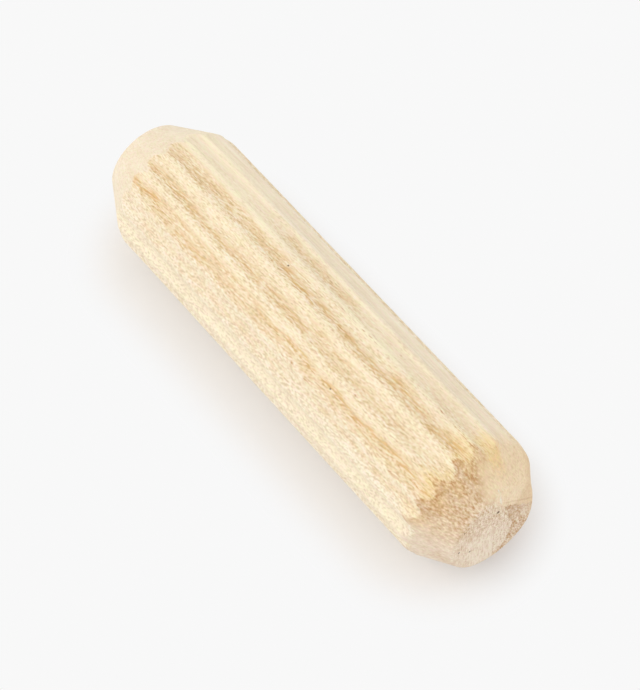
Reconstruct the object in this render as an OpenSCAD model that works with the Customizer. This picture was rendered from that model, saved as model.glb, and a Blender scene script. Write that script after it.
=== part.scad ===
// Fluted dowel pin, turned from one piece of hardwood.
// Straight flutes run its whole length, so that glue and air can get past the pin, and a
// long chamfer at each end leads it into its hole.
// The pin lies along X on two neighbouring crests, as it rests on a bench. The origin is
// on the bench, under the middle of the pin. The end with the damaged rim points to +X.

/* [Pin] */
// Diameter over the crests
pin_d = 8; // [6:0.1:10]
// Length from end face to end face
pin_l = 30; // [20:0.5:80]

/* [Flutes] */
// Number of flutes around the pin
flute_count = 18; // [12:1:22]
// Depth of a flute below the crests
flute_depth = 0.2; // [0.15:0.01:0.4]
// Width of the narrow land that is left on each crest
land_w = 0.24; // [0.1:0.01:0.4]

/* [Ends] */
// Radius of the bend between the fluted body and a chamfer
shoulder_r = 1.2; // [0.2:0.01:2]
// Radius of the worn edge around an end face
rim_r = 0.16; // [0.05:0.01:0.3]
// Length of the chamfer at the damaged end
damaged_chamfer_l = 2.46; // [1.5:0.01:4]
// Diameter of the end face at the damaged end
damaged_face_d = 5.38; // [4.4:0.01:5.8]
// Length of the chamfer at the sound end
sound_chamfer_l = 2.82; // [1.5:0.01:4]
// Diameter of the end face at the sound end
sound_face_d = 4.76; // [3:0.01:5.8]

/* [Damaged rim] */
// Direction of the pared corner from the axis, turned from straight down towards +Y
pared_at = 125; // [0:1:360]
// How far the pared corner reaches in from the rim
pared_reach = 1.3; // [0.3:0.01:1.5]
// Slope of the pared corner from the end face
pared_slope = 16; // [8:1:45]
// Depth of the torn patch, where its floor passes under the middle of the end face
torn_depth = 0.22; // [0.1:0.01:0.4]
// Direction in which the torn patch's floor rises, turned from straight down towards +Y
torn_rise_at = 22; // [0:1:90]
// Slope of the torn patch's floor
torn_slope = 3; // [0:1:8]

/* [Hidden] */

// Fineness of the round faces where they are drawn as a mesh
$fn = 96;
// Steps in each bend of the turned outline
BEND_STEPS = 5;
// How far a cutting shape runs past the wood
OVERRUN = 1;
// Corners of the torn patch, each as its direction, turned from straight down towards +Y,
// and its distance in from the rim. The last three lie outside the wood.
TORN_CORNERS = [[158, 1.03], [61, 1.16], [27, 0.69], [10, 0.29], [5, -1.3], [42, -1.5], [80, -1.3]];

crest_r = pin_d / 2;
damaged_face_r = damaged_face_d / 2;
pitch_angle = 360 / flute_count;
// Half of the angle that a flute takes from the round
flute_half = pitch_angle / 2 - asin(land_w / 2 / crest_r);
// A flute's groove is round, touches its floor and ends on the lands at its sides.
floor_r = crest_r - flute_depth;
flute_r = (crest_r ^ 2 - 2 * crest_r * floor_r * cos(flute_half) + floor_r ^ 2)
    / (2 * (crest_r * cos(flute_half) - floor_r));
// The pin rests on the near edges of the lands at both sides of its lowest flute.
rest_h = crest_r * cos(flute_half);

// Point at a distance from the origin, in a direction
function polar(direction, r) = r * [cos(direction), sin(direction)];

// Points of a bend around a centre, between two directions
function bend(centre, r, from, to) = [
    for (i = [0:BEND_STEPS])
        centre + polar(from + (to - from) * i / BEND_STEPS, r)
];

// One end's outline as [radius, height], from its shoulder to the middle of its face
function end_outline(chamfer_l, face_r) =
    let (
        slope = atan((crest_r - face_r) / chamfer_l),
        shoulder_h = pin_l / 2 - chamfer_l - shoulder_r * tan(slope / 2),
        rim_centre = face_r - rim_r * tan((90 - slope) / 2)
    )
    concat(
        bend([crest_r - shoulder_r, shoulder_h], shoulder_r, 0, slope),
        bend([rim_centre, pin_l / 2 - rim_r], rim_r, slope, 90),
        [[0, pin_l / 2]]
    );

// The same points for the other end, in the opposite order
function turned_over(points) = [
    for (i = [len(points) - 1:-1:0])
        [points[i][0], -points[i][1]]
];

// The pin before it is fluted, standing on its axis with the damaged end up
module blank() {
    rotate_extrude()
        polygon(concat(
            turned_over(end_outline(sound_chamfer_l, sound_face_d / 2)),
            end_outline(damaged_chamfer_l, damaged_face_r)
        ));
}

// The groove of the lowest flute
module flute() {
    translate([floor_r + flute_r, 0, 0])
        cylinder(r = flute_r, h = pin_l + 2 * OVERRUN, center = true);
}

// What the pared corner takes off: all that is above a plane which slopes off the end face
module pared_corner() {
    rotate([0, 0, pared_at])
        translate([damaged_face_r - pared_reach, 0, pin_l / 2])
            rotate([0, pared_slope, 0])
                translate([-OVERRUN, -crest_r, 0])
                    cube([OVERRUN + pin_d, pin_d, pin_l / 2]);
}

// What tore out of the rim beside it, down to a floor that rises a little towards one side
module torn_patch() {
    translate([0, 0, pin_l / 2 - torn_depth])
        rotate([0, 0, torn_rise_at])
            rotate([0, -torn_slope, 0])
                rotate([0, 0, -torn_rise_at])
                    linear_extrude(torn_depth + OVERRUN)
                        polygon([for (corner = TORN_CORNERS) polar(corner[0], damaged_face_r - corner[1])]);
}

module dowel_pin() {
    color([0.93, 0.85, 0.71])
        translate([0, 0, rest_h])
            rotate([0, 90, 0])
                difference() {
                    blank();
                    for (i = [0:flute_count - 1])
                        rotate([0, 0, i * pitch_angle])
                            flute();
                    pared_corner();
                    torn_patch();
                }
}

dowel_pin();
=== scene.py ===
import logging
import math
from dataclasses import dataclass, field
from enum import Enum

import bpy
from mathutils import Matrix, Vector


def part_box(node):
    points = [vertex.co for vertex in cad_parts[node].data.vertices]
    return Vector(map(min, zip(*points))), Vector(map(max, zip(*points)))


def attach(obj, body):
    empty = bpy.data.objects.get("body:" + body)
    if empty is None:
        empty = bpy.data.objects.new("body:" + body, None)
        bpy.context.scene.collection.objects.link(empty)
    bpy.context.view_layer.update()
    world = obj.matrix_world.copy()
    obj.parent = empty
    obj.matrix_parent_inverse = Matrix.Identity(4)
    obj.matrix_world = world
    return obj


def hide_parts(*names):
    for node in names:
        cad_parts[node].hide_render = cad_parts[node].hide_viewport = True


# A fluted dowel pin of pale hardwood, lying on a plain pale floor. Everything is in metres.

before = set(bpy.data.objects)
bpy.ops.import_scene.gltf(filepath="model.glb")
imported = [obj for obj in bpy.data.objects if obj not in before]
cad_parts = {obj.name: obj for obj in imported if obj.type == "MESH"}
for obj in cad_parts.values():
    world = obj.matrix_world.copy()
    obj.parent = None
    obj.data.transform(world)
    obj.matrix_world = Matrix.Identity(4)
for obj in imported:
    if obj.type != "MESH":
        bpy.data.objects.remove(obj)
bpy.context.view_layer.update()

log = logging.getLogger("dowel_pin")

MM = 0.001


# ---------------------------------------------------------------------------------------
# Node trees, written as expressions
# ---------------------------------------------------------------------------------------


class Output:
    """One output socket of a node."""

    def __init__(self, tree: "Tree", socket: bpy.types.NodeSocket | None) -> None:
        """Keeps the socket and the tree that it is in.

        Args:
            tree: The tree that holds the socket's node.
            socket: The output socket, or nothing for a node that ends the tree.
        """
        self.tree = tree
        self.socket = socket


class Value(Output):
    """An output that carries numbers. Arithmetic on it adds Math nodes."""

    def __add__(self, other: "Number") -> "Value":
        """Sum of two values."""
        return self.tree.maths("ADD", self, other)

    def __radd__(self, other: "Number") -> "Value":
        """Sum, with the plain number first."""
        return self.tree.maths("ADD", other, self)

    def __sub__(self, other: "Number") -> "Value":
        """Difference of two values."""
        return self.tree.maths("SUBTRACT", self, other)

    def __rsub__(self, other: "Number") -> "Value":
        """Difference, with the plain number first."""
        return self.tree.maths("SUBTRACT", other, self)

    def __mul__(self, other: "Number") -> "Value":
        """Product of two values."""
        return self.tree.maths("MULTIPLY", self, other)

    def __rmul__(self, other: "Number") -> "Value":
        """Product, with the plain number first."""
        return self.tree.maths("MULTIPLY", other, self)

    def __truediv__(self, other: "Number") -> "Value":
        """Quotient of two values."""
        return self.tree.maths("DIVIDE", self, other)

    def __rtruediv__(self, other: "Number") -> "Value":
        """Quotient, with the plain number first."""
        return self.tree.maths("DIVIDE", other, self)

    def floor(self) -> "Value":
        """Whole part."""
        return self.tree.maths("FLOOR", self)

    def sine(self) -> "Value":
        """Sine of an angle in radians."""
        return self.tree.maths("SINE", self)

    def cosine(self) -> "Value":
        """Cosine of an angle in radians."""
        return self.tree.maths("COSINE", self)

    def root(self) -> "Value":
        """Square root."""
        return self.tree.maths("SQRT", self)

    def size(self) -> "Value":
        """Value without its sign."""
        return self.tree.maths("ABSOLUTE", self)

    def turn_from(self, other: "Value") -> "Value":
        """Angle in degrees whose sine and cosine go as this value and the other."""
        return self.tree.maths("ARCTAN2", self, other) * (180.0 / math.pi)

    def least(self, other: "Number") -> "Value":
        """The smaller of two values."""
        return self.tree.maths("MINIMUM", self, other)

    def most(self, other: "Number") -> "Value":
        """The larger of two values."""
        return self.tree.maths("MAXIMUM", self, other)

    def blend_down(self, other: "Number", width: "Number") -> "Value":
        """The smaller of two values, with a soft change between them over a width."""
        return self.tree.maths("SMOOTH_MIN", self, other, width)

    def rise(self, low: "Number", high: "Number") -> "Value":
        """Smooth step.

        Args:
            low: Where the step leaves 0.
            high: Where the step reaches 1. It may be below low, and then the step falls.

        Returns:
            The step, from 0 to 1.
        """
        return self.tree.add(
            "ShaderNodeMapRange",
            {"interpolation_type": "SMOOTHSTEP"},
            {"Value": self, "From Min": low, "From Max": high},
        )


Number = Value | float | int
Given = Output | float | int | bool | str | tuple | bpy.types.ID


class Blend(Enum):
    """How a second colour goes over a first one."""

    OVER = "MIX"
    TIMES = "MULTIPLY"


class Tree:
    """A node tree with one method that adds any node to it."""

    def __init__(self, nodes: bpy.types.NodeTree) -> None:
        """Starts from an empty tree.

        Args:
            nodes: The tree. What it held is removed.
        """
        self.nodes = nodes
        nodes.nodes.clear()

    def add(
        self,
        kind: str,
        settings: dict[str, object] | None = None,
        values: dict[str | int, Given] | None = None,
        output: str | int = 0,
    ) -> Output:
        """Adds a node.

        Args:
            kind: The node's type.
            settings: Its properties, which are set first. "stops" is a ramp's list of
                positions and colours, and "items" the number of an index switch's items.
            values: What goes into its sockets, by name or place: links or plain values.
            output: The output wanted, by name or place.

        Returns:
            The output, as a Value if it carries numbers.
        """
        node = self.nodes.nodes.new(kind)
        for name, setting in (settings or {}).items():
            if name == "stops":
                self._set_stops(node.color_ramp, setting)
            elif name == "items":
                while len(node.index_switch_items) < setting:
                    node.index_switch_items.new()
            else:
                setattr(node, name, setting)
        for name, value in (values or {}).items():
            self._put(node.inputs[name], value)
        return self._from(node.outputs[output]) if node.outputs else Output(self, None)

    def _from(self, socket: bpy.types.NodeSocket) -> Output:
        """Wraps an output socket, as a Value if it carries numbers."""
        numeric = socket.type in ("VALUE", "INT", "BOOLEAN")
        return (Value if numeric else Output)(self, socket)

    def _put(self, socket: bpy.types.NodeSocket, value: Given) -> None:
        """Links an output to an input socket, or sets the socket's own value.

        Args:
            socket: The input socket.
            value: The output or the plain value.
        """
        if isinstance(value, Output):
            self.nodes.links.new(value.socket, socket)
        else:
            socket.default_value = value

    @staticmethod
    def _set_stops(ramp: bpy.types.ColorRamp, stops: list[tuple[float, tuple]]) -> None:
        """Gives a colour ramp its stops.

        Args:
            ramp: The ramp.
            stops: Positions and colours, from the lowest position up.
        """
        while len(ramp.elements) < len(stops):
            ramp.elements.new(1.0)
        for element, (position, colour) in zip(ramp.elements, stops):
            element.position = position
            element.color = colour

    def maths(self, operation: str, *terms: Number) -> Value:
        """Adds a Math node.

        Args:
            operation: The node's operation.
            terms: Its values, in order.

        Returns:
            The result.
        """
        return self.add("ShaderNodeMath", {"operation": operation}, dict(enumerate(terms)))

    def scaled(self, vector: Output, by: tuple[float, float, float]) -> Output:
        """Multiplies a vector by another, part by part."""
        return self.add("ShaderNodeVectorMath", {"operation": "MULTIPLY"}, {0: vector, 1: by})

    def joined(self, x: Number, y: Number, z: Number = 0.0) -> Output:
        """Makes a vector from its three parts."""
        return self.add("ShaderNodeCombineXYZ", {}, {"X": x, "Y": y, "Z": z})

    def parts(self, vector: Output) -> tuple[Value, Value, Value]:
        """Splits a vector into its three parts."""
        x = self.add("ShaderNodeSeparateXYZ", {}, {0: vector}, "X")
        return x, *(Value(self, x.socket.node.outputs[name]) for name in "YZ")

    def noise(self, vector: Output, seed: Number = 0.0, detail: float = 2.0) -> Value:
        """Adds soft noise with a middle of one half.

        Args:
            vector: Where it is read, in units of one feature.
            seed: A number that picks another pattern.
            detail: How much finer noise is added to it.

        Returns:
            The noise, from 0 to 1.
        """
        return self.add(
            "ShaderNodeTexNoise",
            {"noise_dimensions": "4D"},
            {"Vector": vector, "W": seed, "Scale": 1.0, "Detail": detail},
        )

    def mixed(
        self, factor: Number, first: Given, second: Given, way: Blend = Blend.OVER
    ) -> Output:
        """Mixes two colours.

        Args:
            factor: Share of the second colour.
            first: The first colour.
            second: The second colour.
            way: How it goes over the first.

        Returns:
            The mixed colour.
        """
        settings = {"data_type": "RGBA", "blend_type": way.value, "clamp_factor": True}
        # The node's sockets for colours come after those for numbers and vectors
        return self.add("ShaderNodeMix", settings, {0: factor, 6: first, 7: second}, 2)


class SocketKind(Enum):
    """What a named input of a geometry tree carries."""

    SIZE = "NodeSocketFloat"
    COUNT = "NodeSocketInt"
    FINISH = "NodeSocketMaterial"


class ShapeTree(Tree):
    """A geometry node tree with named inputs."""

    def __init__(self, name: str, inputs: dict[str, SocketKind]) -> None:
        """Makes the tree and its inputs.

        Args:
            name: The tree's name.
            inputs: Each input's name and kind.
        """
        super().__init__(bpy.data.node_groups.new(name, "GeometryNodeTree"))
        face = self.nodes.interface
        face.new_socket("Geometry", in_out="OUTPUT", socket_type="NodeSocketGeometry")
        for label, kind in inputs.items():
            face.new_socket(label, in_out="INPUT", socket_type=kind.value)
        self.source = self.nodes.nodes.new("NodeGroupInput")

    def given(self, name: str) -> Output:
        """The named input, as an output inside the tree."""
        return self._from(self.source.outputs[name])

    def finish(self, shape: Output, material: Output) -> None:
        """Ends the tree in Realize Instances and Set Material.

        Args:
            shape: The finished geometry.
            material: The material that it gets.
        """
        shape = self.add("GeometryNodeRealizeInstances", {}, {"Geometry": shape})
        shape = self.add("GeometryNodeSetMaterial", {}, {"Geometry": shape, "Material": material})
        self.add("NodeGroupOutput", {}, {"Geometry": shape})

    def shaped(self, name: str, sizes: dict[str, Given]) -> bpy.types.Object:
        """Runs the tree once and keeps the result as a plain mesh.

        Args:
            name: The new object's name.
            sizes: A value for every named input.

        Returns:
            An object at the origin with the finished mesh and no modifier.
        """
        piece = bpy.data.objects.new(name, bpy.data.meshes.new(name))
        bpy.context.scene.collection.objects.link(piece)
        modifier = piece.modifiers.new(name, "NODES")
        modifier.node_group = self.nodes
        for item in self.nodes.interface.items_tree:
            if item.in_out == "INPUT":
                modifier[item.identifier] = sizes[item.name]
        graph = bpy.context.evaluated_depsgraph_get()
        mesh = bpy.data.meshes.new_from_object(
            piece.evaluated_get(graph), preserve_all_data_layers=True, depsgraph=graph
        )
        piece.modifiers.clear()
        piece.data = mesh
        mesh.name = name
        return piece


# ---------------------------------------------------------------------------------------
# Finishes
# ---------------------------------------------------------------------------------------

Colour = tuple[float, float, float, float]
Place = tuple[float, float, float]
# Where something starts to show and where it shows in full
Span = tuple[float, float]


def tint(red: float, green: float, blue: float) -> Colour:
    """A colour from its display values.

    Args:
        red: Red, from 0 to 1 as a display shows it.
        green: Green, in the same way.
        blue: Blue, in the same way.

    Returns:
        The colour as light, with full alpha.
    """
    light = [
        part / 12.92 if part <= 0.04045 else ((part + 0.055) / 1.055) ** 2.4
        for part in (red, green, blue)
    ]
    return (light[0], light[1], light[2], 1.0)


class Zone(Enum):
    """Parts of the pin's surface that its mesh marks for the finish."""

    CUT = "cut_by_turning"
    GROOVE = "in_a_flute"
    TORN = "torn"
    WALL = "torn_edge"
    PARED = "pared"


@dataclass(frozen=True)
class Streak:
    """A streak along the grain where the wood has another tone."""

    # Direction round the axis, in degrees from straight up towards the front
    turn: float
    half_width: float
    # Reach along the pin, in millimetres
    start: float
    end: float
    strength: float
    # Length over which it fades out, and the share of its width that shows in full
    fade: float = 1.0
    core: float = 0.25

    def mask(self, turn: Value, along: Value) -> Value:
        """How strongly the streak shows.

        Args:
            turn: Direction round the axis, in degrees.
            along: Place along the pin, in millimetres.

        Returns:
            Zero outside the streak, and its strength in the middle.
        """
        beside = (turn - self.turn).size().rise(self.half_width, self.core * self.half_width)
        start = along.rise(self.start - self.fade, self.start + self.fade)
        end = along.rise(self.end + self.fade, self.end - self.fade)
        return beside * start * end * self.strength


def streaks(*rows: tuple[float, ...]) -> tuple[Streak, ...]:
    """Makes a streak from each row of sizes, in the order of a streak's fields."""
    return tuple(Streak(*row) for row in rows)


class Pattern(Enum):
    """Noise in the wood.

    Each has the sizes of its features along the grain, across it and along the rays, in
    millimetres, then a number that picks the pattern and how much finer noise is added.
    """

    FLECKS = (0.25, 0.066, 0.16, 1.0, 1.5)
    FIBRES = (1.6, 0.08, 0.08, 2.0, 1.0)
    TONE = (2.5, 0.45, 0.45, 3.0, 2.0)
    WANDER = (3.0, 1.5, 1.5, 4.0, 2.0)
    SPECKLE = (0.26, 0.10, 0.12, 5.0, 2.0)
    PATCHES = (0.9, 0.55, 0.55, 6.0, 2.0)
    RAGGED = (0.8, 0.10, 0.25, 7.0, 2.0)
    THREADS = (9.0, 0.16, 0.16, 8.0, 1.0)
    END_GRAIN = (1.2, 0.12, 0.5, 9.0, 2.0)
    DROPS = (0.3, 0.09, 0.45, 10.0, 2.0)
    HUE = (0.45, 0.13, 0.13, 11.0, 2.0)
    SHORT = (0.18, 0.09, 0.09, 13.0, 1.0)


@dataclass(frozen=True)
class Spot:
    """A point on the pin's surface, as the finish sees it, in millimetres and degrees."""

    # The material's tree, and how much each zone shows at the point
    tree: Tree
    zone: dict[Zone, Value]
    # Its place turned into the grain, and as it is
    grain: Output
    place: Output
    # Its parts: along the pin, beside the axis towards +Y, and above the axis
    along: Value
    aside: Value
    above: Value
    # Direction round the axis, from straight up towards -Y, and distance from the axis
    turn: Value
    out: Value
    # How far it is past the line of the pared corner's ledge
    past_ledge: Value


@dataclass(frozen=True)
class BirchFinish:
    """Pale, finely flecked hardwood, bare and a little rough."""

    name: str = "bare_birch"
    # Colours of the flecks, darkest first
    flecks: tuple[Colour, ...] = (
        tint(0.835, 0.745, 0.590),
        tint(0.935, 0.853, 0.714),
        tint(0.967, 0.922, 0.828),
    )
    # Colours of the side where it is smooth, of painted bounce light low down, stained, scorched,
    # and of painted highlights
    smooth: Colour = tint(0.963, 0.918, 0.840)
    painted_bounce: Colour = tint(0.972, 0.948, 0.900)
    stain: Colour = tint(0.93, 0.84, 0.70)
    amber: Colour = tint(1.0, 0.93, 0.72)
    painted_highlight: Colour = tint(0.985, 0.935, 0.81)
    # Colours of the turned ends: the sound one, then the damaged one
    end_cream: Colour = tint(0.918, 0.868, 0.788)
    end_light: Colour = tint(0.970, 0.918, 0.845)
    end_tan: Colour = tint(0.980, 0.892, 0.748)
    end_brown: Colour = tint(0.760, 0.590, 0.400)
    # Colours of the pores and of the curl, and two slight shifts of hue
    dark: Colour = tint(0.40, 0.30, 0.20)
    curl: Colour = tint(0.955, 0.940, 0.890)
    greenish: Colour = tint(0.986, 1.000, 0.976)
    pinkish: Colour = tint(1.000, 0.984, 1.000)
    # Slope of the grain across the pin, and the direction in which the rays run
    grain_slope: float = 4.5
    ray_turn: float = 23.0
    # Directions round the axis between which the strip is smooth
    strip_top: Span = (-23.0, -33.0)
    strip_foot: Span = (-58.0, -50.0)
    # Direction past which the turned ends begin in the smooth strip's own way, and how far
    # from the pin's middle they begin there
    planed: Span = (-22.0, -34.0)
    planed_cut: Span = (11.4, 13.4)
    # Directions between which the low side is painted paler, as light from the floor falls there
    bounce_lit_top: Span = (35.0, 75.0)
    bounce_lit_foot: Span = (178.0, 120.0)
    # Middle of the upper side, and how far round from it the back begins
    facing: float = 23.0
    back: Span = (90.0, 108.0)
    # Direction at which the damaged end turns browner, and distances from the axis at which
    # its face gives way to its chamfer and the painted shade in a flute begins
    wedge: Span = (92.0, 40.0)
    cone: Span = (2.25, 2.95)
    flute_shade: Span = (2.5, 3.4)
    # The paler middle of the damaged end's face: its centre and how far it reaches
    faded: Place = (15.0, -0.4, 2.6)
    faded_reach: Span = (2.2, 0.8)
    # Browner streaks, mostly along the flutes
    stains: tuple[Streak, ...] = streaks(
        (-2.5, 4.5, -12.6, -1.0, 0.38),
        (3.5, 4.5, -12.6, -1.0, 0.50),
        (4.0, 5.5, -2.0, 13.5, 0.75),
        (23.5, 5.0, -12.8, -8.8, 0.62),
        (24.0, 5.5, -8.8, 2.0, 0.55),
        (25.0, 5.0, 2.0, 10.0, 0.35),
        (42.0, 5.5, -12.8, -9.4, 0.90),
        (46.5, 6.0, -8.0, 13.0, 0.45),
        (40.6, 3.0, -1.5, 13.0, 0.80),
        (-20.0, 6.0, -3.4, 2.4, 0.42),
        (-20.0, 5.5, 2.4, 12.0, 0.10),
        (-1.5, 5.0, 6.5, 13.0, 0.35),
        (17.5, 4.0, 1.0, 5.5, 0.40),
        (38.0, 4.0, -9.0, -1.5, 0.40),
        (36.0, 5.0, 9.0, 12.0, 0.30),
        (47.0, 7.0, -11.0, -5.5, 0.40),
        (60.0, 5.0, 4.0, 13.0, 0.32),
        (65.0, 8.0, -11.0, 3.0, 0.30),
        (-56.0, 5.0, -11.0, 7.0, 0.55),
    )
    # Yellower patches that lie over the edge of the cut
    scorches: tuple[Streak, ...] = streaks(
        (-21.0, 12.0, 11.8, 13.7, 0.58, 0.8),
        (-5.0, 9.0, 11.2, 13.4, 0.42, 0.8),
        (5.0, 8.0, 11.8, 13.7, 0.42, 0.6),
        (21.0, 10.0, 12.4, 13.9, 0.38, 0.6),
        (31.0, 8.0, 11.7, 13.0, 0.50, 0.6),
        (42.0, 11.0, 12.2, 13.8, 0.36, 0.6),
        (63.0, 10.0, 11.8, 13.4, 0.30, 0.6),
    )
    # Where the smooth strip is worn further round
    worn: tuple[Streak, ...] = streaks(
        (-23.0, 19.0, -15.0, -5.0, 0.70, 2.5),
        (-23.0, 15.0, 2.4, 7.4, 0.55, 2.0),
        (-26.0, 12.0, 7.4, 12.4, 0.35, 2.0),
    )
    # Painted highlights: paler streaks of sheen, mostly along the crests, and one of painted bounce
    # light low down
    painted_highlights: tuple[Streak, ...] = streaks(
        (-13.0, 9.0, -13.5, -4.5, 0.65, 2.0),
        (-33.0, 14.0, -14.5, -7.5, 0.70, 2.0),
        (-15.0, 7.0, 2.6, 7.2, 0.55, 2.0),
        (-27.6, 2.6, -7.0, 12.0, 0.50, 3.0),
        (-10.0, 5.5, -12.5, 12.5, 0.50),
        (-11.0, 4.0, 0.5, 5.5, 0.60),
        (51.0, 4.0, 7.5, 10.5, 0.50),
        (12.0, 5.5, -12.5, 12.5, 0.30),
        (33.0, 3.0, -12.5, 12.5, 0.30),
        (85.0, 18.0, -13.0, 12.5, 0.35),
    )
    # Centre, radius and strength of browner and paler patches of the damaged end
    bruises: tuple[tuple[Place, float, float], ...] = (
        ((14.39, -0.19, 6.94), 1.1, 0.26),
        ((14.78, -1.75, 6.12), 1.0, 0.18),
        ((14.12, -2.80, 5.36), 0.9, 0.12),
        ((13.00, -3.70, 3.54), 0.9, -0.16),
        ((13.49, -0.95, 7.30), 0.8, -0.12),
        ((12.89, 0.35, 7.74), 0.8, -0.20),
        ((14.81, 2.18, 4.22), 0.8, -0.12),
    )
    # Centre and radius of the darkest pores, in millimetres
    pores: tuple[tuple[Place, float], ...] = (
        ((-2.30, 0.08, 7.78), 0.075),
        ((4.65, -2.515, 6.815), 0.065),
        ((14.96, 0.23, 5.33), 0.13),
        ((14.97, -2.26, 3.88), 0.085),
        ((14.97, -1.54, 3.29), 0.075),
        ((14.97, -1.97, 5.475), 0.065),
    )
    # Ends and width of the two lengths of a pale curl of lifted fibre
    curls: tuple[tuple[Place, Place, float], ...] = (
        ((14.60, 0.44, 6.80), (14.87, 0.40, 6.32), 0.12),
        ((14.85, 0.38, 6.42), (14.95, 0.49, 5.78), 0.10),
    )
    roughness: float = 0.62
    shine: float = 0.25
    relief: float = 0.014 * MM

    def material(self, axis_height: float, ledge: tuple[float, float]) -> bpy.types.Material:
        """Builds the material.

        Args:
            axis_height: Height of the pin's axis.
            ledge: Direction of the pared corner's ledge, in degrees from straight down,
                and its distance from the axis.

        Returns:
            The new material.
        """
        material = bpy.data.materials.new(self.name)
        material.use_nodes = True
        spot = self._spot(Tree(material.node_tree), axis_height, ledge)
        tree, zone = spot.tree, spot.zone
        flecks = self._at(spot.grain, Pattern.FLECKS)
        fibres = self._at(spot.grain, Pattern.FIBRES)
        speckle = self._at(spot.grain, Pattern.SPECKLE)

        side = self._side(spot, flecks, fibres)
        end = self._end(spot, speckle)
        # The turned wood begins at a ragged edge, on the smooth strip at one of its own, and
        # it shows less at the sound end
        cut = (zone[Zone.CUT] + fibres * 1.5 + speckle * 1.1).rise(0.25, 0.75)
        planed = spot.turn.rise(*self.planed)
        planed_cut = (spot.along.size() + fibres * 2.0).rise(*self.planed_cut)
        cut = cut * (1.0 - planed) + planed_cut * planed
        cut = cut * (0.6 + spot.along.rise(0.0, 1.0) * 0.4)
        colour = tree.mixed(cut, side, end)

        hue = self._at(spot.grain, Pattern.HUE) * 4.0 + 0.5
        hue = tree.mixed(hue, self.greenish, self.pinkish)
        colour = tree.mixed(1.0, colour, hue, Blend.TIMES)
        edge = spot.along + fibres * 1.5 + speckle * 1.2
        scorched = self._summed(self.scorches, spot.turn + fibres * 12.0, edge)
        colour = tree.mixed(scorched, colour, self.amber, Blend.TIMES)
        colour = tree.mixed(self._curled(spot) * (0.55 + fibres * 0.7), colour, self.curl)
        colour = tree.mixed(self._pored(spot), colour, self.dark)

        heights = flecks + fibres * 0.6 + speckle * zone[Zone.CUT] * 1.5
        relief = {"Strength": 1.0, "Distance": self.relief, "Height": heights}
        surface = tree.add(
            "ShaderNodeBsdfPrincipled",
            {},
            {
                "Base Color": colour,
                "Roughness": self.roughness + flecks * 0.2,
                "Specular IOR Level": self.shine,
                "Normal": tree.add("ShaderNodeBump", {}, relief),
            },
        )
        tree.add("ShaderNodeOutputMaterial", {}, {"Surface": surface})
        return material

    def _side(self, spot: Spot, flecks: Value, fibres: Value) -> Output:
        """Colour of the fluted side.

        Args:
            spot: The point on the pin.
            flecks: Noise of short flecks.
            fibres: Noise of long fibres.

        Returns:
            The colour.
        """
        tree = spot.tree
        wander = self._at(spot.grain, Pattern.WANDER)
        ragged = self._at(spot.grain, Pattern.RAGGED)
        turn = spot.turn + wander * 12.0 + flecks * 10.0
        along = spot.along + wander * 5.0 + fibres * 4.0
        stained = self._summed(self.stains, turn, along)
        behind = (spot.turn - self.facing).size().rise(*self.back)
        # The low side, which gets painted bounce light from the floor, and short flecks
        low = turn.rise(*self.bounce_lit_top) * turn.rise(*self.bounce_lit_foot)
        smooth = (spot.turn + wander * 5.0).rise(*self.strip_top)
        smooth = smooth * spot.turn.rise(*self.strip_foot)
        smooth = self._summed(self.worn, turn, along).most(smooth).least(1.0)

        # Flecks, which are weaker on the smooth strip and at the back, where threads show
        detail = flecks * 2.6 + fibres * 0.7
        level = 0.58 + detail * (1.0 - smooth * 0.65 - behind * 0.3)
        level = level + self._at(spot.grain, Pattern.TONE) * 0.55
        threads = self._at(spot.grain, Pattern.THREADS)
        level = level + threads * (smooth * 2.0 + behind * 1.3)
        level = level + low * self._at(spot.place, Pattern.SHORT) * 3.9
        level = level - stained * (ragged + 0.15) * 0.6
        stops = list(zip((0.0, 0.5, 1.0), self.flecks))
        colour = tree.add("ShaderNodeValToRGB", {"stops": stops}, {"Fac": level})
        # Painted bounce light: the low side is paler and less yellow, as light from the floor falls
        # there
        colour = tree.mixed(low * 0.3, colour, self.painted_bounce)
        colour = tree.mixed(smooth * 0.55, colour, self.smooth)

        # Stains, and painted shade in the flutes, partly pressed darker wood, which is strongest at
        # the back; both are broken up by ragged patches
        uneven = 0.15 + ragged.rise(-0.12, 0.10) * 0.95
        # Painted shade in the flutes, partly darker pressed wood
        groove = spot.zone[Zone.GROOVE] * spot.out.rise(*self.flute_shade)
        shade = stained * uneven + groove * (0.06 + behind * uneven * 0.75)
        colour = tree.mixed(shade, colour, self.stain, Blend.TIMES)
        # Painted highlights along the crests, stronger where the flecks are paler
        painted_sheen = self._summed(self.painted_highlights, turn, along) * (0.3 + level)
        return tree.mixed(painted_sheen, colour, self.painted_highlight)

    def _end(self, spot: Spot, speckle: Value) -> Output:
        """Colour of the turned ends.

        Args:
            spot: The point on the pin.
            speckle: Noise of fine speckles.

        Returns:
            The colour.
        """
        tree, torn = spot.tree, spot.zone[Zone.TORN]
        patches = self._at(spot.grain, Pattern.PATCHES)
        cone = (spot.out + speckle * 0.8 + patches * 0.5).rise(*self.cone)
        off_face = cone.most(spot.zone[Zone.PARED])

        # Browner to one side, with bruises, a faded middle, and a torn floor that is browner partly
        # as torn wood and partly as painted shade in its hollow, with painted light towards its
        # edge and painted shade on its inner wall
        wedge = (spot.turn + patches * 20.0 + speckle * 24.0).rise(*self.wedge)
        past = spot.along.rise(15.1, 12.9)
        brown = wedge * (0.08 + cone * (0.06 + 0.25 * past))
        faded = self._apart(spot, self.faded).rise(*self.faded_reach) * 0.16
        shade = 0.27 + brown - faded + patches * 0.9 + speckle * (0.9 + wedge * 1.3)
        for centre, radius, strength in self.bruises:
            shade = shade + self._apart(spot, centre).rise(radius, 0.0) * strength
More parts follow.
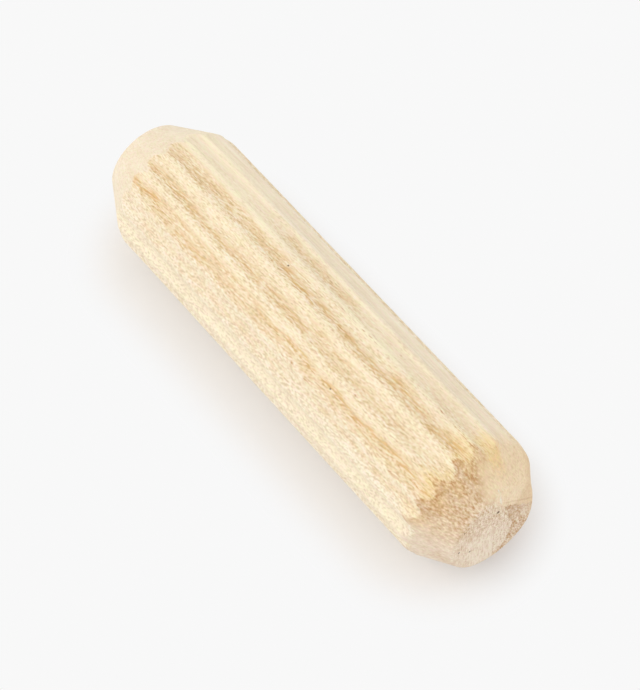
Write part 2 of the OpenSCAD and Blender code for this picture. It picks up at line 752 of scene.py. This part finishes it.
        # Painted light on the torn floor towards its upper edge
        painted_edge_light = (spot.aside + spot.above * 0.5).rise(1.4, 2.2) * 0.36
        # The torn floor is browner, partly torn wood and partly painted shade of the hollow; its
        # inner wall gets painted shade
        shade = shade + torn * (0.16 - painted_edge_light) + spot.zone[Zone.WALL] * 0.25
        drops = self._at(spot.place, Pattern.DROPS)
        shade = shade + drops * (torn * 0.9).most((1.0 - cone) * 1.5)
        base = tree.mixed(wedge * cone * 0.6, self.end_light, self.end_tan)
        colour = tree.mixed(shade, base, self.end_brown)

        # Tan past a slanting seam on the chamfer, and browner layers
        seam = (0.9 - (spot.along - 12.9) * 0.9).most(-0.2) + patches * 0.8
        tan = (spot.aside - seam + speckle * 1.3).rise(-0.6, 0.45) * off_face
        tan = tan * 0.68 * (1.0 - torn)
        tan = tan - self._at(spot.grain, Pattern.END_GRAIN) * 0.5 - speckle * 0.3
        colour = tree.mixed(tan, colour, self.end_tan)
        layered = self._layered(spot, patches) * off_face
        colour = tree.mixed(layered, colour, self.end_brown)

        sound = speckle * 1.2 + patches * 0.8 + 0.15
        sound = tree.mixed(sound, self.end_cream, self.flecks[0])
        return tree.mixed(spot.along.rise(0.0, 1.0), sound, colour)

    @staticmethod
    def _layered(spot: Spot, patches: Value) -> Value:
        """Browner layers of the pared corner, along its ledge and at its outer side.

        Args:
            spot: The point on the pin.
            patches: Noise of broad patches.

        Returns:
            How much of the brown shows.
        """
        past = spot.past_ledge + patches * 0.1
        line = (past - 0.24).size().rise(0.08, 0.02) * spot.along.rise(14.2, 14.5)
        outer = (spot.turn + patches * 16.0).rise(-54.0, -64.0) * spot.along.rise(12.4, 13.2)
        return line * spot.aside.rise(0.5, 0.9) * 0.25 + outer * 0.24

    def _pored(self, spot: Spot) -> Value:
        """Where the few dark pores are.

        Args:
            spot: The point on the pin.

        Returns:
            One in a pore and zero outside it.
        """
        pored: Number = 0.0
        for centre, radius in self.pores:
            pored = self._apart(spot, centre).rise(radius, 0.3 * radius).most(pored)
        return pored

    def _curled(self, spot: Spot) -> Value:
        """Where the pale curl is: a thin oval around each of its lengths.

        Args:
            spot: The point on the pin.

        Returns:
            One on the curl and zero beside it.
        """
        curled: Number = 0.0
        for start, end, width in self.curls:
            length = math.dist(start, end)
            around = self._apart(spot, start) + self._apart(spot, end) - length
            curled = around.rise(2.0 * width * width / length, 0.0).most(curled)
        return curled

    @staticmethod
    def _apart(spot: Spot, centre: Place) -> Value:
        """Distance from a point, in millimetres."""
        ends = {0: spot.place, 1: centre}
        return spot.tree.add("ShaderNodeVectorMath", {"operation": "DISTANCE"}, ends, "Value")

    @staticmethod
    def _summed(table: tuple[Streak, ...], turn: Value, along: Value) -> Value:
        """Adds up the masks of a table's streaks."""
        masks = [streak.mask(turn, along) for streak in table]
        return sum(masks[1:], masks[0])

    def _spot(self, tree: Tree, axis_height: float, ledge: tuple[float, float]) -> Spot:
        """Finds the point on the pin in all the ways that the finish needs.

        Args:
            tree: The material's tree.
            axis_height: Height of the pin's axis.
            ledge: The ledge's direction from straight down, and distance from the axis.

        Returns:
            The point.
        """
        zone = {
            mark: tree.add("ShaderNodeAttribute", {"attribute_name": mark.value}, {}, "Fac")
            for mark in Zone
        }
        place = tree.add("ShaderNodeTexCoord", {}, {}, "Object")
        place = tree.scaled(place, (1 / MM, 1 / MM, 1 / MM))
        along, aside, height = tree.parts(place)
        above = height - axis_height / MM
        turns = (math.radians(-self.ray_turn), 0.0, math.radians(-self.grain_slope))
        grain = tree.add(
            "ShaderNodeVectorRotate",
            {"rotation_type": "EULER_XYZ"},
            {"Vector": place, "Rotation": turns},
        )
        out = (aside * aside + above * above).root()
        turn = (0.0 - aside).turn_from(above)
        direction, distance = math.radians(ledge[0]), ledge[1] / MM
        past_ledge = aside * math.sin(direction) - above * math.cos(direction) - distance
        return Spot(tree, zone, grain, place, along, aside, above, turn, out, past_ledge)

    @staticmethod
    def _at(place: Output, pattern: Pattern) -> Value:
        """Noise at a place, as a pattern has it.

        Args:
            place: The place in millimetres, turned into the grain or not.
            pattern: The pattern.

        Returns:
            The noise, with a middle of zero.
        """
        *sizes, seed, detail = pattern.value
        by = tuple(1 / size for size in sizes)
        return place.tree.noise(place.tree.scaled(place, by), seed, detail) - 0.5


@dataclass(frozen=True)
class FloorFinish:
    """Plain, pale and matt, and brighter to the eye away from what stands on it."""

    name: str = "pale_floor"
    colour: Colour = tint(0.957, 0.950, 0.943)
    shown: Colour = tint(0.973, 0.973, 0.973)
    roughness: float = 0.9
    # Half the length of the strip that keeps its shadow, and where the shadow thins out
    strip: float = 10.4 * MM
    shadow: Span = (4.0 * MM, 7.2 * MM)
    # Share of its own brightness that the floor shows even in the shadow
    lift: float = 0.27

    def material(self) -> bpy.types.Material:
        """Builds the material.

        Returns:
            The new material.
        """
        material = bpy.data.materials.new(self.name)
        material.use_nodes = True
        tree = Tree(material.node_tree)
        matt = tree.add(
            "ShaderNodeBsdfDiffuse", {}, {"Color": self.colour, "Roughness": self.roughness}
        )
        glow = tree.add("ShaderNodeEmission", {}, {"Color": self.shown, "Strength": 1.0})
        seen = tree.add("ShaderNodeLightPath", {}, {}, "Is Camera Ray")
        x, y, _ = tree.parts(tree.add("ShaderNodeTexCoord", {}, {}, "Object"))
        past = (x.size() - self.strip).most(0.0)
        away = (past * past + y * y).root().rise(*self.shadow)
        share = seen * (self.lift + away * (1.0 - self.lift))
        surface = tree.add("ShaderNodeMixShader", {}, {0: share, 1: matt, 2: glow})
        tree.add("ShaderNodeOutputMaterial", {}, {"Surface": surface})
        return material


# ---------------------------------------------------------------------------------------
# The pin
# ---------------------------------------------------------------------------------------


@dataclass
class TurnedEnd:
    """One chamfered end of the pin."""

    # Length of the chamfer along the pin, radius of the face, and number of the mesh's rings
    chamfer: float
    face_radius: float
    rings: int
    # How far past the shoulder those rings go on
    margin: float = 0.8 * MM

    def zone(self, crest_radius: float) -> float:
        """Length of the outline that the end's rings cover.

        Args:
            crest_radius: The pin's radius over the crests.

        Returns:
            The length from the middle of the face to a little past the shoulder.
        """
        slant = math.hypot(self.chamfer, crest_radius - self.face_radius)
        return self.face_radius + slant + self.margin


@dataclass
class TornPatch:
    """Where wood tore out of the damaged end's rim.

    Directions are in degrees from straight down, turned towards +Y.
    """

    # Its inner edges: direction of each edge's normal and distance from the axis
    edges: tuple[tuple[float, float], ...] = (
        (107.4, 1.054 * MM),
        (67.5, 1.520 * MM),
        (49.8, 1.843 * MM),
    )
    # The edge that it shares with the pared corner
    ledge: tuple[float, float] = (140.0, 1.55 * MM)
    # Its floor: depth at the axis, the direction in which it rises, and by how many degrees
    depth: float = 0.22 * MM
    rise_at: float = 22.0
    slope: float = 3.0
    # Distance from the axis past which the floor rises as steeply as the second value says
    lip: float = 2.0 * MM
    lip_slope: float = 0.2
    # Width of the wall at its inner edges, and of the band along them that is marked
    wall: float = 0.07 * MM
    marked: float = 0.5 * MM
    # Noise in the edges and in the floor: the size of its features and its height
    ragged: tuple[float, float] = (0.5 * MM, 0.45 * MM)
    rough: tuple[float, float] = (0.22 * MM, 0.10 * MM)
    # Where along the pin its marks begin
    near: Span = (12.0 * MM, 13.5 * MM)


@dataclass
class ParedCorner:
    """The shallow slope beside the torn patch."""

    # Direction and slope in degrees, and distance from the axis at which it starts
    direction: float = 125.0
    slope: float = 16.0
    start: float = 1.39 * MM
    softness: float = 0.3 * MM
    # How deep it is where it is marked in full
    marked: float = 0.08 * MM


@dataclass
class LiftedGrain:
    """A low swelling of the damaged chamfer where the grain has lifted."""

    # Direction and half its width in degrees, then its middle and half its length
    direction: float = 115.0
    half_width: float = 32.0
    centre: float = 13.45 * MM
    reach: float = 1.0 * MM
    height: float = 0.25 * MM


@dataclass
class DowelPin:
    """The fluted pin: one solid piece of hardwood that lies along X."""

    finish: BirchFinish
    flutes: int = 18
    flute_depth: float = 0.20 * MM
    # Width of the crest that is left between two flutes
    land: float = 0.24 * MM
    # Widths over which a flute runs out softly onto the crest and onto the chamfer
    crest_softness: float = 0.07 * MM
    run_out: float = 0.04 * MM
    # How far out each flute's floor may lie, and over how many radians its line wavers
    lift: Span = (-0.02 * MM, 0.06 * MM)
    waver: float = 0.05
    damaged: TurnedEnd = field(default_factory=lambda: TurnedEnd(2.46 * MM, 2.69 * MM, 118))
    sound: TurnedEnd = field(default_factory=lambda: TurnedEnd(2.82 * MM, 2.38 * MM, 76))
    # Radii of the bend from body to chamfer and of the edge around each face
    shoulder: float = 1.2 * MM
    rim: float = 0.16 * MM
    torn: TornPatch = field(default_factory=TornPatch)
    pared: ParedCorner = field(default_factory=ParedCorner)
    lifted: LiftedGrain = field(default_factory=LiftedGrain)
    # Heights of the fine and the broad wear
    fine_wear: float = 0.022 * MM
    broad_wear: float = 0.03 * MM
    body_rings: int = 76
    points_per_flute: int = 18
    seed: int = 7

    def __post_init__(self) -> None:
        """Takes the pin's reach from the CAD node that it stands for."""
        low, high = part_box("dowel_pin")
        self.half_length = (high.x - low.x) / 2
        self.crest_radius = (high.y - low.y) / 2
        # The pin lies on the two crests beside the lowest flute, on the edges of their lands
        half = math.pi / self.flutes - math.asin(self.land / 2 / self.crest_radius)
        self.axis_height = self.crest_radius * math.cos(half)
        # A flute is an arc through those edges and its floor
        floor = self.crest_radius - self.flute_depth
        self.groove_radius = (
            self.crest_radius**2 - 2 * self.crest_radius * floor * math.cos(half) + floor**2
        ) / (2 * (self.crest_radius * math.cos(half) - floor))

    def build(self) -> bpy.types.Object:
        """Makes the pin's mesh and gives it its finish.

        Returns:
            The pin, at the origin and riding on nothing yet.
        """
        kinds = {name: SocketKind.SIZE for name in self._sizes()}
        kinds |= {name: SocketKind.COUNT for name in self._counts()}
        kinds["Finish"] = SocketKind.FINISH
        tree = ShapeTree("fluted_pin", kinds)
        self._write(tree)
        finish = self.finish.material(self.axis_height, self.torn.ledge)
        return tree.shaped("fluted_pin", self._sizes() | self._counts() | {"Finish": finish})

    def _sizes(self) -> dict[str, float]:
        """The tree's named sizes.

        Returns:
            Each size in metres, by the name of its input.
        """
        return {
            "Half length": self.half_length,
            "Crest radius": self.crest_radius,
            "Axis height": self.axis_height,
            "Flute depth": self.flute_depth,
            "Groove radius": self.groove_radius,
            "Damaged chamfer": self.damaged.chamfer,
            "Damaged face radius": self.damaged.face_radius,
            "Damaged zone": self.damaged.zone(self.crest_radius),
            "Sound chamfer": self.sound.chamfer,
            "Sound face radius": self.sound.face_radius,
            "Sound zone": self.sound.zone(self.crest_radius),
            "Shoulder radius": self.shoulder,
            "Rim radius": self.rim,
            "Torn depth": self.torn.depth,
            "Pared start": self.pared.start,
        }

    def _counts(self) -> dict[str, int]:
        """The tree's named counts and its seed.

        Returns:
            Each whole number, by the name of its input.
        """
        return {
            "Flutes": self.flutes,
            "Points around": self.flutes * self.points_per_flute,
            "Damaged rings": self.damaged.rings,
            "Sound rings": self.sound.rings,
            "Body rings": self.body_rings,
            "Seed": self.seed,
        }

    def _write(self, tree: ShapeTree) -> None:
        """Writes the tree that wraps a grid round the pin.

        Args:
            tree: The tree, with its named inputs.
        """
        crest = tree.given("Crest radius")
        around = tree.given("Points around")
        rings = tree.given("Damaged rings") + tree.given("Body rings") + tree.given("Sound rings")
        columns = around + 1
        counts = {"Size X": 1.0, "Size Y": 1.0, "Vertices X": rings + 1, "Vertices Y": columns}
        shape = tree.add("GeometryNodeMeshGrid", {}, counts, "Mesh")
        index = tree.add("GeometryNodeInputIndex")
        row = (index / columns).floor()
        turn = (index - row * columns) * (math.tau / around)

        turned_x, turned_r = self._turned(tree, row)
        surface = tree.joined(turned_x / MM, turn.cosine() * crest / MM, turn.sine() * crest / MM)
        fluted_r = self._fluted(tree, turn, surface)
        # A soft choice of the smaller is low by a sixth of its width where the two are equal
        radius = fluted_r.blend_down(turned_r + self.run_out / 6, self.run_out)
        radius = radius + self._swelling(turned_x, turn)
        down, side = radius * turn.cosine(), radius * turn.sine()
        x, torn, wall, pared = self._damaged_x(tree, turned_x, down, side)
        place = tree.joined(x, side, tree.given("Axis height") - down)

        # The turned wood is marked a little early near the ends and on the crests, and a
        # little late in the flutes
        early = turned_x.size().rise(11.9 * MM, 12.5 * MM) * (0.05 * MM)
        early = early + (fluted_r - (crest - tree.given("Flute depth") * 0.5)) * 0.6
        marks = {
            Zone.CUT: (fluted_r - turned_r + early).rise(0.0, 0.2 * MM),
            Zone.GROOVE: (crest - fluted_r).rise(0.02 * MM, 0.16 * MM),
            Zone.TORN: torn,
            Zone.WALL: wall,
            Zone.PARED: pared,
        }
        for zone, mark in marks.items():
            shape = tree.add(
                "GeometryNodeStoreNamedAttribute",
                {"data_type": "FLOAT", "domain": "POINT"},
                {"Geometry": shape, "Name": zone.value, "Value": mark},
            )
        shape = tree.add("GeometryNodeSetPosition", {}, {"Geometry": shape, "Position": place})
        # This closes the seam along the pin and the middle of each face
        closed = {"Geometry": shape, "Distance": 0.0001 * MM}
        shape = tree.add("GeometryNodeMergeByDistance", {}, closed)
        shape = tree.add("GeometryNodeFlipFaces", {}, {0: shape})
        shape = self._worn(tree, shape)
        shape = tree.add("GeometryNodeSetShadeSmooth", {}, {0: shape})
        tree.finish(shape, tree.given("Finish"))

    def _turned(self, tree: ShapeTree, row: Value) -> tuple[Value, Value]:
        """The turned outline, read ring by ring.

        Args:
            tree: The pin's tree.
            row: Number of the ring, from the sound end.

        Returns:
            The ring's place along the axis and its radius.
        """
        reach, crest = tree.given("Half length"), tree.given("Crest radius")
        index = tree.add("GeometryNodeInputIndex")

        # From the middle of the sound face, over its rim and shoulder, to the other face
        def corner(*values: Given) -> Output:
            """Picks the value of one of the outline's six corners."""
            links = {0: index} | dict(enumerate(values, 1))
            return tree.add("GeometryNodeIndexSwitch", {"data_type": "FLOAT", "items": 6}, links)

        sound_x = tree.given("Sound chamfer") - reach
        damaged_x = reach - tree.given("Damaged chamfer")
        sound_r, damaged_r = tree.given("Sound face radius"), tree.given("Damaged face radius")
        line = tree.add("GeometryNodeCurvePrimitiveLine", {}, {"End": (1.0, 0.0, 0.0)})
        line = tree.add("GeometryNodeResampleCurve", {}, {"Curve": line, "Count": 6})
        x = corner(0.0 - reach, 0.0 - reach, sound_x, damaged_x, reach, reach)
        radius = corner(0.0, sound_r, crest, crest, damaged_r, 0.0)
        corners = {"Geometry": line, "Position": tree.joined(x, 0.0, radius)}
        line = tree.add("GeometryNodeSetPosition", {}, corners)
        rim, shoulder = tree.given("Rim radius"), tree.given("Shoulder radius")
        bends = corner(0.0, rim, shoulder, shoulder, rim, 0.0)
        rounds = {"Curve": line, "Count": 9, "Radius": bends, "Limit Radius": True}
        outline = tree.add("GeometryNodeFilletCurve", {"mode": "POLY"}, rounds)
        whole = tree.add("GeometryNodeCurveLength", {}, {"Curve": outline})
        sound_rings, body_rings = tree.given("Sound rings"), tree.given("Body rings")
        damaged_rings = tree.given("Damaged rings")
        sound_zone, damaged_zone = tree.given("Sound zone"), tree.given("Damaged zone")
        body_row = row - sound_rings
        length = (
            row.least(sound_rings) * (sound_zone / sound_rings)
            + body_row.most(0.0).least(body_rings)
            * ((whole - sound_zone - damaged_zone) / body_rings)
            + (body_row - body_rings).most(0.0) * (damaged_zone / damaged_rings)
        )
        read = {"Curves": outline, "Length": length}
        point = tree.add("GeometryNodeSampleCurve", {"mode": "LENGTH"}, read, "Position")
        ring_x, _, ring_radius = tree.parts(point)
        return ring_x, ring_radius

    def _fluted(self, tree: ShapeTree, turn: Value, surface: Output) -> Value:
        """The fluted outline around the axis.

        Args:
            tree: The pin's tree.
            turn: Angle around the axis, from straight down.
            surface: The place on the pin in millimetres.

        Returns:
            The radius at that angle.
        """
        crest, groove = tree.given("Crest radius"), tree.given("Groove radius")
        flutes, seed = tree.given("Flutes"), tree.given("Seed")
        pitch = math.tau / flutes
        nearest = (turn / pitch + 0.5).floor()
        number = tree.maths("MODULO", nearest, flutes)
        drawn = {"Min": self.lift[0], "Max": self.lift[1], "ID": number, "Seed": seed}
        lift = tree.add("FunctionNodeRandomValue", {"data_type": "FLOAT"}, drawn, "Value")
        slow = tree.noise(tree.scaled(surface, (0.16, 0.5, 0.5)), seed + 1.5, 1.0)
        off = turn - nearest * pitch + (slow - 0.5) * self.waver
        middle = crest - tree.given("Flute depth") + groove
        beside = middle * off.sine()
        sunk = middle * off.cosine() - (groove * groove - beside * beside).root()
        return (sunk + lift).blend_down(crest, self.crest_softness)

    def _swelling(self, turned_x: Value, turn: Value) -> Value:
        """How far the lifted grain stands out.

        Args:
            turned_x: The place along the axis.
            turn: Angle around the axis, from straight down.

        Returns:
            The height of the swelling.
        """
        lifted = self.lifted
        beside = (turn - math.radians(lifted.direction)).size()
        beside = beside.rise(math.radians(lifted.half_width), 0.0)
        along = (turned_x - lifted.centre).size().rise(lifted.reach, 0.0)
        return beside * along * lifted.height

    def _damaged_x(
        self, tree: ShapeTree, turned_x: Value, down: Value, side: Value
    ) -> tuple[Value, Value, Value, Value]:
        """What the damage leaves of the end.

        Args:
            tree: The pin's tree.
            turned_x: The turned place along the axis.
            down: Distance below the axis.
            side: Distance beside the axis, towards +Y.

        Returns:
            The place along the axis, and the marks of the torn patch, its inner edge and
            the pared corner, each from 0 to 1.
        """
        reach = tree.given("Half length")

        def towards(direction: float) -> Value:
            """Distance from the axis in a direction, turned from straight down."""
            angle = math.radians(direction)
            return down * math.cos(angle) + side * math.sin(angle)

        def jagged(size: float, seed: float) -> Value:
            """Noise over the end face, with features of a size in metres."""
            return tree.noise(tree.joined(down / size, side / size), seed, 3.0) - 0.5

        pared, torn = self.pared, self.torn
        start = tree.given("Pared start")
        slid = (towards(pared.direction) - start) * math.tan(math.radians(pared.slope))
        x = turned_x.blend_down(reach - slid, pared.softness)
        pared_mark = (turned_x - x).rise(0.0, pared.marked)

        edge = towards(torn.edges[0][0]) - torn.edges[0][1]
        for direction, distance in torn.edges[1:]:
            edge = edge.most(towards(direction) - distance)
        edge = edge.least(torn.ledge[1] - towards(torn.ledge[0]))
        edge = edge + jagged(torn.ragged[0], 11.0) * torn.ragged[1]
        inside = edge.rise(0.0, torn.wall)
        risen = towards(torn.rise_at) * math.tan(math.radians(torn.slope))
        depth = tree.given("Torn depth") - risen + jagged(torn.rough[0], 12.0) * torn.rough[1]
        outward = (down * down + side * side).root()
        depth = depth - (outward - torn.lip).most(0.0) * torn.lip_slope
        x = x.least(reach - inside * depth)
        torn_mark = inside * turned_x.rise(*torn.near)
        return x, torn_mark, torn_mark * edge.rise(torn.marked, 0.0), pared_mark

    def _worn(self, tree: ShapeTree, shape: Output) -> Output:
        """Takes a little off the surface, unevenly, as handling and tearing do.

        Args:
            tree: The pin's tree.
            shape: The closed pin.

        Returns:
            The worn pin.
        """
        place, seed = tree.add("GeometryNodeInputPosition"), tree.given("Seed")
        # How many features there are in a metre, along the pin and across it
        fine = tree.noise(tree.scaled(place, (1500.0, 6000.0, 6000.0)), seed + 3.5, 2.0)
        broad = tree.noise(tree.scaled(place, (180.0, 500.0, 500.0)), seed + 5.5, 1.0)
        amount = fine * self.fine_wear + broad * self.broad_wear
        inwards = {"Vector": tree.add("GeometryNodeInputNormal"), "Scale": 0.0 - amount}
        offset = tree.add("ShaderNodeVectorMath", {"operation": "SCALE"}, inwards)
        return tree.add("GeometryNodeSetPosition", {}, {"Geometry": shape, "Offset": offset})


# ---------------------------------------------------------------------------------------
# Floor, light and camera
# ---------------------------------------------------------------------------------------


@dataclass
class Floor:
    """The plain floor that the pin lies on."""

    finish: FloorFinish
    half_width: float = 1.5

    def build(self) -> bpy.types.Object:
        """Makes the floor.

        Returns:
            The floor, as one flat face at the height of zero.
        """
        w = self.half_width
        mesh = bpy.data.meshes.new("floor")
        mesh.from_pydata([(-w, -w, 0), (w, -w, 0), (w, w, 0), (-w, w, 0)], [], [(0, 1, 2, 3)])
        mesh.materials.append(self.finish.material())
        floor = bpy.data.objects.new("floor", mesh)
        bpy.context.scene.collection.objects.link(floor)
        return floor


@dataclass
class Studio:
    """Soft light all round, one round soft box and the camera."""

    target: Vector
    # Strength of the light all round
    sky: float = 0.90
    # The soft box: its direction round the pin from the front and up, in degrees, its
    # distance and width in metres, and its power in watts
    lamp_azimuth: float = -44.0
    lamp_elevation: float = 35.0
    lamp_distance: float = 0.8
    lamp_width: float = 0.60
    lamp_power: float = 2.0
    # The camera, in the same way, with its lens and sensor in millimetres, and the
    # nearest distance that it shows
    azimuth: float = 52.45
    elevation: float = 55.3
    distance: float = 0.180
    lens: float = 177.95
    sensor: float = 36.0
    shift: tuple[float, float] = (0.0087, -0.0117)
    near: float = 0.005

    @staticmethod
    def _away(azimuth: float, elevation: float) -> Vector:
        """Direction away from the pin, in degrees round it from the front and up."""
        a, e = math.radians(azimuth), math.radians(elevation)
        return Vector((math.sin(a) * math.cos(e), -math.cos(a) * math.cos(e), math.sin(e)))

    def light(self) -> bpy.types.Object:
        """Makes the world's light and the soft box.

        Returns:
            The soft box.
        """
        scene = bpy.context.scene
        scene.world = bpy.data.worlds.new("studio")
        scene.world.use_nodes = True
        tree = Tree(scene.world.node_tree)
        white = (1.0, 1.0, 1.0, 1.0)
        sky = tree.add("ShaderNodeBackground", {}, {"Color": white, "Strength": self.sky})
        tree.add("ShaderNodeOutputWorld", {}, {"Surface": sky})
        data = bpy.data.lights.new("key", "AREA")
        data.shape = "DISK"
        data.size = self.lamp_width
        data.energy = self.lamp_power
        box = bpy.data.objects.new("key", data)
        away = self._away(self.lamp_azimuth, self.lamp_elevation)
        box.location = self.target + away * self.lamp_distance
        box.rotation_euler = away.to_track_quat("Z", "Y").to_euler()
        scene.collection.objects.link(box)
        return box

    def camera(self) -> bpy.types.Object:
        """Makes the camera and puts it in use.

        Returns:
            The camera.
        """
        data = bpy.data.cameras.new("camera")
        data.lens = self.lens
        data.sensor_width = self.sensor
        data.clip_start = self.near
        data.shift_x, data.shift_y = self.shift
        camera = bpy.data.objects.new("camera", data)
        back = self._away(self.azimuth, self.elevation)
        a = math.radians(self.azimuth)
        right = Vector((math.cos(a), math.sin(a), 0.0))
        axes = Matrix((right, back.cross(right), back)).transposed()
        camera.matrix_world = Matrix.Translation(self.target + back * self.distance) @ axes.to_4x4()
        bpy.context.scene.collection.objects.link(camera)
        bpy.context.scene.camera = camera
        return camera


def main() -> None:
    """Builds the pin, the floor, the light and the camera, and reports each one."""
    logging.basicConfig(level=logging.INFO, format="%(name)s: %(message)s")

    pin = DowelPin(BirchFinish())
    piece = pin.build()
    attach(piece, "root")
    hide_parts("dowel_pin")
    log.info("%s: %d faces", piece.name, len(piece.data.polygons))

    floor = Floor(FloorFinish()).build()
    log.info("%s: %d face", floor.name, len(floor.data.polygons))

    studio = Studio(target=Vector((0.0, 0.0, pin.axis_height)))
    log.info("%s: %.1f W", studio.light().name, studio.lamp_power)
    log.info("%s: %.1f mm lens", studio.camera().name, studio.lens)

    bpy.context.scene.view_settings.view_transform = "Standard"


if __name__ == "__main__":
    main()
